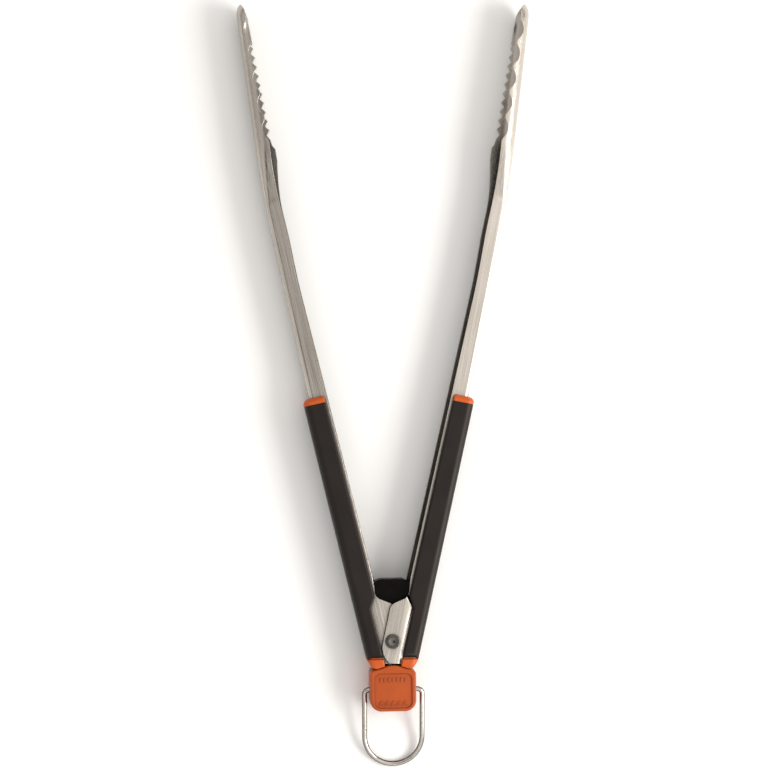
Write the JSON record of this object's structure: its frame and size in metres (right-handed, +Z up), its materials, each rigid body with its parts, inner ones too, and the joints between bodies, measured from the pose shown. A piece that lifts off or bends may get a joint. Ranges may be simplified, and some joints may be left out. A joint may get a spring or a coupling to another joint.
{
  "type": "spring-loaded tongs",
  "caption": "Long spring-loaded locking kitchen tongs: steel channel arms with scalloped heads, soft black grips, an orange pull cap and a wire hanging ring.",
  "frame": {"origin": "on the table, under the middle of the bounding box of the tongs lying flat and open", "axes": "+Y from the hinge to the tips, +X to the right arm, +Z up from the table towards the rivet's head"},
  "size_m": [0.1866, 0.4854, 0.024],
  "materials": {
    "steel": "brushed along the arm",
    "polished_steel": "polished stainless steel",
    "spring_steel": "drawn wire, dull",
    "grip_rubber": "soft matt black",
    "orange_plastic": "fine moulded grain",
    "black_plastic": "fine moulded grain"
  },
  "bodies": {
    "hinge_pin": {"pivot_rivet": "polished_steel", "rivet_washer": "polished_steel", "spacer_tube": "spring_steel", "torsion_spring": "spring_steel"},
    "left_arm": {"left_arm": "steel", "left_grip_core": "orange_plastic", "left_grip_sleeve": "grip_rubber"},
    "right_arm": {"right_arm": "steel", "right_grip_core": "orange_plastic", "right_grip_sleeve": "grip_rubber"},
    "lock_slider": {"lock_slider": "black_plastic", "pull_cap": "orange_plastic"},
    "hanging_ring": {"hanging_ring": "polished_steel"}
  },
  "joints": [
    {"name": "left_arm_hinge", "type": "hinge", "parent": "hinge_pin", "child": "left_arm", "pos_m": [0, -0.1617, 0.012], "axis": [0, 0, -1], "range_deg": [0, 12.2], "stiffness_Nm_per_rad": 1.6, "springref_deg": -14.32, "deforming": ["torsion_spring"]},
    {"name": "right_arm_hinge", "type": "hinge", "parent": "hinge_pin", "child": "right_arm", "pos_m": [0, -0.1617, 0.012], "axis": [0, 0, 1], "range_deg": [0, 12.2], "stiffness_Nm_per_rad": 1.6, "springref_deg": -14.32, "deforming": ["torsion_spring"]},
    {"name": "lock_slide", "type": "slide", "parent": "hinge_pin", "child": "lock_slider", "axis": [0, -1, 0], "range_m": [0, 0.012]},
    {"name": "ring_swing", "type": "hinge", "parent": "lock_slider", "child": "hanging_ring", "pos_m": [0, -0.1928, 0.012], "axis": [1, 0, 0], "range_deg": [-142, 118]}
  ],
  "couplings": [
    {"joint": "left_arm_hinge", "follows": "right_arm_hinge", "ratio": 1}
  ]
}
